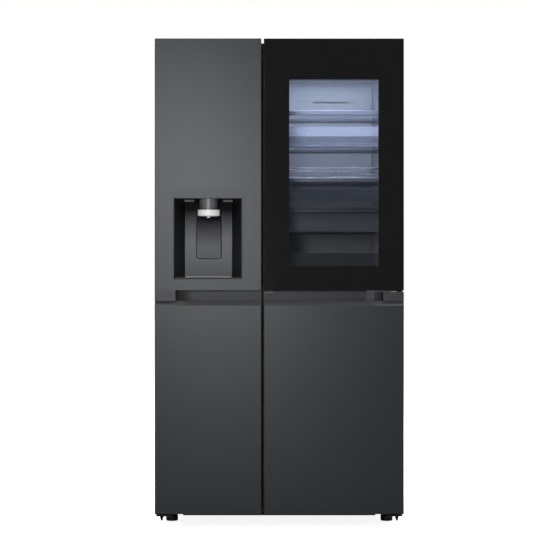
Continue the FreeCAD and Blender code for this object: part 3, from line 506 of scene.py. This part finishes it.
def bellows(name, node, body, width):
    """A door seal: a clip strip, two soft folds and a magnet pocket, swept round the node's own outline."""
    low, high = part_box(node)
    depth = high.y - low.y
    outline = ((0.12, 0), (0.88, 0), (0.88, 0.12), (0.70, 0.20), (0.86, 0.34), (0.66, 0.47), (0.92, 0.56),
               (0.98, 0.76), (0.92, 0.93), (0.80, 1.0), (0.20, 1.0), (0.08, 0.93), (0.02, 0.76), (0.08, 0.56),
               (0.34, 0.47), (0.14, 0.34), (0.30, 0.20), (0.12, 0.12))

    def corner(bm, x, inward_x, z, inward_z):
        """The outline in the mitre plane of one corner."""
        points = [(x + inward_x * across * width, low.y + deep * depth, z + inward_z * across * width)
                  for across, deep in outline]
        return [bm.verts.new(point) for point in points]

    def build(bm):
        corners = [corner(bm, low.x, 1, low.z, 1), corner(bm, high.x, -1, low.z, 1),
                   corner(bm, high.x, -1, high.z, -1), corner(bm, low.x, 1, high.z, -1)]
        for here, there in zip(corners, corners[1:] + corners[:1]):
            for i in range(len(outline)):
                j = (i + 1) % len(outline)
                bm.faces.new((here[i], here[j], there[j], there[i]))
        bmesh.ops.recalc_face_normals(bm, faces=bm.faces)
    seal = piece(name, build, body, rubber)
    soften = seal.modifiers.new("soften", "BEVEL")
    soften.width = 0.6 * MM
    soften.segments = 2
    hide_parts(node)


def dispenser_lamps():
    """Two light bars under the roof of the dispenser's recess, one on each side of the nozzle."""
    low, high = box_mm("dispenser_back_panel")
    depth, height = (low.y - 14, low.y - 6), (high.z - 9.5, high.z - 1.5)

    def build(bm):
        for width in ((-353.4, -315), (-209.3, -172.3)):
            block(bm, width, depth, height, 1.5)
    piece("dispenser_lamps", build, "freezer_door", lens)


def dispenser_panel_lip():
    """A pale bar along the lower edge of the dispenser's back panel: a painted highlight where the panel
    meets the tray.
    """
    low, high = box_mm("dispenser_back_panel")

    def build(bm):
        block(bm, (low.x + 0.5, high.x - 0.5), (low.y - 4, low.y - 0.2), (low.z - 0.2, low.z + 3.4), 1.2)
    piece("dispenser_panel_lip", build, "freezer_door", painted_highlight_metal)


def dispenser_rim():
    """A thin paler rim round the mouth of the recess: a painted highlight on its edges."""
    low, high = box_mm("dispenser_housing")
    left, right, bottom = low.x + 0.4, high.x - 0.4, low.z + 0.2
    top = box_mm("dispenser_back_panel")[1].z + 1.5
    wide, tall = 1.2, 1.4
    depth = (FACE / MM - 0.05, FACE / MM + 0.7)

    def build(bm):
        for height in ((top - tall, top), (bottom, bottom + tall)):
            block(bm, (left, right), depth, height, 0.3)
        for width in ((left, left + wide), (right - wide, right)):
            block(bm, width, depth, (bottom + tall, top - tall), 0.3)
    piece("dispenser_rim", build, "freezer_door", rim_painted_highlight)


def outer_door_hinge_plate():
    """The plate that carries the outer door's lower pin, with the screw in it."""
    pin_x, pin_y = 420, -356
    plate = (861.2, 864.6)
    head = ((3.2, 0), (3.2, 0.6), (2.6, 1.0), (1.2, 1.0), (1.0, 0.5), (0.1, 0.4))

    def build(bm):
        block(bm, (pin_x - 11, pin_x + 12), (pin_y - 10, pin_y + 10), plate, 0.8)
        turned(bm, head, (pin_x, pin_y, plate[1] - 0.1), (0, 0, 1))
    piece("outer_door_hinge_plate", build, "fridge_door", pale_metal)


def rear_and_top_screws():
    """The screws of the rear panel, the machine room's cover, the electronics cover and the top cover."""
    back, up = (0, 1, 0), (0, 0, 1)
    rear = box_mm("rear_panel")[1].y
    cover = box_mm("electronics_cover")[1].y
    top = box_mm("top_cover")[1].z
    heights = (330, 620, 910, 1200, 1490, 1735)
    screws("rear_screws", [(x, rear, z) for x in (-446, 446) for z in heights], back)
    screws("machine_cover_screws", [(x, rear, z) for x in (-440, -150, 150, 440) for z in (50, 262)], back)
    screws("electronics_screws", [(x, cover - 0.1, z) for x in (-160, 160) for z in (1430, 1650)], back, 3.2)
    screws("top_cover_screws", [(x, -135, top - 0.2) for x in (-436, 0, 436)], up, 3.0)


def foam_plugs():
    """The plugs in the rear panel that close the holes the foam was blown in by."""
    rear = box_mm("rear_panel")[1].y
    plug = ((20, 0), (20, 1.2), (18.5, 2.0), (13, 2.2), (12, 1.0), (0.5, 0.8))

    def build(bm):
        for x in (-250, 250):
            for z in (700, 1250):
                turned(bm, plug, (x, rear, z), (0, 1, 0), 40)
    piece("foam_plugs", build, "cabinet", white_plastic)


bellows("freezer_door_seal", "freezer_door_gasket", "freezer_door", 0.016)
bellows("fridge_door_seal", "fridge_door_gasket", "fridge_door", 0.016)
bellows("outer_door_seal", "outer_door_gasket", "outer_door", 0.012)
dispenser_lamps()
dispenser_panel_lip()
dispenser_rim()
outer_door_hinge_plate()
rear_and_top_screws()
foam_plugs()


# ---------------------------------------------------------------- light, floor and camera

WHITE = (1.0, 1.0, 1.0)


def area(name, place, target, size, power, color=WHITE, roll=0.0):
    """A rectangular lamp at a place, aimed at a target, with its power in watts and its roll in degrees."""
    data = bpy.data.lights.new(name, "AREA")
    data.shape = "RECTANGLE"
    data.size, data.size_y = size
    data.energy = power
    data.color = color
    lamp = bpy.data.objects.new(name, data)
    lamp.location = place
    aim = (Vector(target) - Vector(place)).to_track_quat("-Z", "Y").to_matrix()
    lamp.rotation_euler = (aim @ Matrix.Rotation(math.radians(roll), 3, "Z")).to_euler()
    bpy.context.scene.collection.objects.link(lamp)


def softboxes():
    """A tall strip and a small low one in front, off to the left, so that the doors are paler on the left and
    towards the top. The others light the sides, the back and the floor."""
    area("softbox_front", (-0.58, -5.2, 1.60), (-0.58, 0.0, 1.25), (0.42, 1.5), 44.0, roll=14.0)
    area("softbox_low", (-0.33, -5.2, 0.45), (-0.33, 0.0, 0.60), (0.42, 0.9), 6.6, roll=14.0)
    area("softbox_left", (-3.6, 1.0, 2.4), (0.0, 0.2, 0.9), (2.0, 2.4), 60.0)
    area("softbox_right", (3.6, 1.2, 2.4), (0.0, 0.2, 0.9), (2.0, 2.4), 60.0)
    area("softbox_back", (0.6, 4.4, 2.6), (0.0, 0.3, 0.9), (2.6, 2.2), 70.0)
    area("softbox_top", (0.0, 1.5, 5.2), (0.0, 1.5, 0.0), (8.0, 7.0), 420.0)


def inside_lights():
    """The lamps of the two compartments."""
    blue, pale_blue, cold_white = (0.66, 0.76, 1.0), (0.66, 0.72, 1.0), (0.84, 0.90, 1.0)
    area("fridge_light", (0.19, -0.17, 1.69), (0.19, -0.05, 1.0), (0.30, 0.05), 1.6, blue)
    area("fridge_fill", (0.22, -0.20, 1.50), (0.22, 0.30, 1.52), (0.30, 0.30), 0.7, pale_blue)
    area("freezer_light", (-0.255, 0.0, 1.69), (-0.255, -0.05, 1.0), (0.15, 0.04), 1.5, cold_white)


def white_world():
    """A backdrop that the camera sees as white, and that lights the object weakly."""
    lighting, backdrop = 0.19, 1.0
    world = bpy.data.worlds.new("studio")
    world.use_nodes = True
    tree = world.node_tree
    background = tree.nodes["Background"]
    background.inputs["Color"].default_value = WHITE + (1.0,)
    path = tree.nodes.new("ShaderNodeLightPath")
    ease = tree.nodes.new("ShaderNodeMapRange")
    ease.inputs["To Min"].default_value = lighting
    ease.inputs["To Max"].default_value = backdrop
    tree.links.new(path.outputs["Is Camera Ray"], ease.inputs["Value"])
    tree.links.new(ease.outputs["Result"], background.inputs["Strength"])
    bpy.context.scene.world = world


def floor_paper():
    """White paper that whitens out with distance. A lane through the middle reflects little towards the
    object, as if a black flag stood over it."""
    lane_from, lane_to = 0.9, 2.2
    near, far = 1.2, 4.5
    g = Graph("floor_paper")
    seen = g.add("ShaderNodeLightPath").outputs["Is Camera Ray"]
    flag = g.remap(g.math("ABSOLUTE", g.axes()[0]), 0.30, 0.86, lane_from, lane_to)
    length = g.add("ShaderNodeVectorMath", operation="LENGTH")
    g.link(g.place, length.inputs[0])
    away = length.outputs["Value"]
    black, white = (0.0, 0.0, 0.0, 1.0), (1.0, 1.0, 1.0, 1.0)
    tone = g.mix(flag, black, white)
    g.set(Base_Color=g.mix(seen, tone, (0.86, 0.86, 0.87, 1.0)), Roughness=0.7, Emission_Color=white,
          Emission_Strength=g.math("MULTIPLY", seen, g.remap(away, 0.88, 1.0, near, far)))
    return g.material


def floor():
    half = 30.0
    corners = [(-half, -half, 0), (half, -half, 0), (half, half, 0), (-half, half, 0)]
    mesh = bpy.data.meshes.new("floor")
    mesh.from_pydata(corners, [], [(0, 1, 2, 3)])
    mesh.materials.append(floor_paper())
    item = bpy.data.objects.new("floor", mesh)
    bpy.context.scene.collection.objects.link(item)


def camera():
    """A long lens straight in front, level with the middle of the object."""
    item = bpy.data.objects.new("camera", bpy.data.cameras.new("camera"))
    item.data.lens = 105.5
    item.data.sensor_width = 36.0
    item.data.clip_end = 200.0
    item.location = (0.0008, -6.3675, 0.907)
    item.rotation_euler = (math.radians(90), 0.0, 0.0)
    bpy.context.scene.collection.objects.link(item)
    bpy.context.scene.camera = item
    bpy.context.scene.view_settings.view_transform = "Standard"


softboxes()
inside_lights()
white_world()
floor()
camera()
